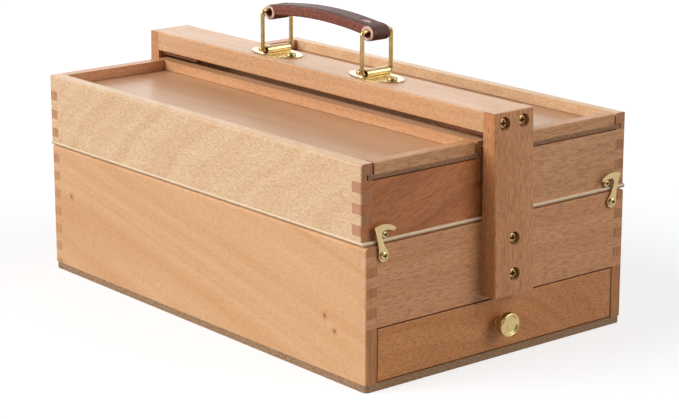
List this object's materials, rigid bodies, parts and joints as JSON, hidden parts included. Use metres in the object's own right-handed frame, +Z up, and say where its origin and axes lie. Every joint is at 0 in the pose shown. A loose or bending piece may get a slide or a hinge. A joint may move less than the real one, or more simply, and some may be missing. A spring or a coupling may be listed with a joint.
{
  "type": "paint drawer box",
  "caption": "Beech carrying box for watercolours: a base drawer, tip-up trays with sliding lids below a central yoke, brass hooks, and a folding leather handle.",
  "frame": {"origin": "middle of the base panel's underside, on the surface that the box stands on", "axes": "+Z up; Y along the box's length, with the drawer opening towards -Y; +X to the right as seen from the drawer's end"},
  "size_m": [0.235, 0.39, 0.2099],
  "materials": {
    "beech": "oiled, satin",
    "plywood": "oiled plywood",
    "pale_plywood": "raw plywood",
    "brass": "polished",
    "leather": "polished, dark"
  },
  "bodies": {
    "case": {"base_panel": "plywood", "case_left_wall": "beech", "case_right_wall": "beech", "case_front_wall": "beech", "case_rear_wall": "beech", "compartment_floor": "plywood", "front_upright": "beech", "rear_upright": "beech", "top_rail": "beech", "front_stop_block": "beech", "rear_stop_block": "beech", "front_upright_screws": "brass", "rear_upright_screws": "brass", "tray_pivot_pins": "brass", "front_handle_plate": "brass", "rear_handle_plate": "brass", "handle_plate_screws": "brass", "hook_pivot_screws": "brass"},
    "drawer": {"drawer_front": "beech", "drawer_left_side": "beech", "drawer_right_side": "beech", "drawer_back": "beech", "drawer_bottom": "plywood", "drawer_knob": "brass", "knob_screw": "brass"},
    "left_tray": {"left_tray_outer_wall": "beech", "left_tray_inner_wall": "beech", "left_tray_front_wall": "beech", "left_tray_rear_wall": "beech", "left_tray_bottom": "pale_plywood", "left_tray_bushes": "brass", "left_catch_screw": "brass"},
    "right_tray": {"right_tray_outer_wall": "beech", "right_tray_inner_wall": "beech", "right_tray_front_wall": "beech", "right_tray_rear_wall": "beech", "right_tray_bottom": "pale_plywood", "right_tray_bushes": "brass", "right_catch_screw": "brass"},
    "left_lid": {"left_lid_panel": "plywood", "left_lid_front_rail": "beech"},
    "right_lid": {"right_lid_panel": "plywood", "right_lid_front_rail": "beech"},
    "left_catch_hook": {"left_hook": "brass"},
    "right_catch_hook": {"right_hook": "brass"},
    "front_bail_loop": {"front_bail": "brass"},
    "rear_bail_loop": {"rear_bail": "brass"},
    "grip": {"leather_grip": "leather"}
  },
  "joints": [
    {"name": "drawer_slide", "type": "slide", "parent": "case", "child": "drawer", "axis": [0, -1, 0], "range_m": [0, 0.25]},
    {"name": "left_tray_hinge", "type": "hinge", "parent": "case", "child": "left_tray", "pos_m": [-0.0142, 0, 0.1456], "axis": [0, 1, 0], "range_deg": [0, 48]},
    {"name": "right_tray_hinge", "type": "hinge", "parent": "case", "child": "right_tray", "pos_m": [0.0142, 0, 0.1456], "axis": [0, -1, 0], "range_deg": [0, 48]},
    {"name": "left_lid_slide", "type": "slide", "parent": "left_tray", "child": "left_lid", "axis": [0, -1, 0], "range_m": [0, 0.3]},
    {"name": "right_lid_slide", "type": "slide", "parent": "right_tray", "child": "right_lid", "axis": [0, -1, 0], "range_m": [0, 0.3]},
    {"name": "left_hook_swing", "type": "hinge", "parent": "case", "child": "left_catch_hook", "pos_m": [-0.1023, -0.181, 0.0892], "axis": [0, -1, 0], "range_deg": [0, 170]},
    {"name": "right_hook_swing", "type": "hinge", "parent": "case", "child": "right_catch_hook", "pos_m": [0.1023, -0.181, 0.0892], "axis": [0, 1, 0], "range_deg": [0, 170]},
    {"name": "front_bail_fold", "type": "hinge", "parent": "case", "child": "front_bail_loop", "pos_m": [0, -0.0555, 0.1725], "axis": [1, 0, 0], "range_deg": [-78, 78]},
    {"name": "rear_bail_fold", "type": "hinge", "parent": "case", "child": "rear_bail_loop", "pos_m": [0, 0.0555, 0.1725], "axis": [1, 0, 0], "range_deg": [-78, 78]},
    {"name": "grip_turn", "type": "hinge", "parent": "front_bail_loop", "child": "grip", "pos_m": [0, -0.0555, 0.2018], "axis": [1, 0, 0], "range_deg": [-78, 78]}
  ],
  "couplings": [
    {"joint": "rear_bail_fold", "follows": "front_bail_fold", "ratio": 1},
    {"joint": "grip_turn", "follows": "front_bail_fold", "ratio": -1}
  ]
}
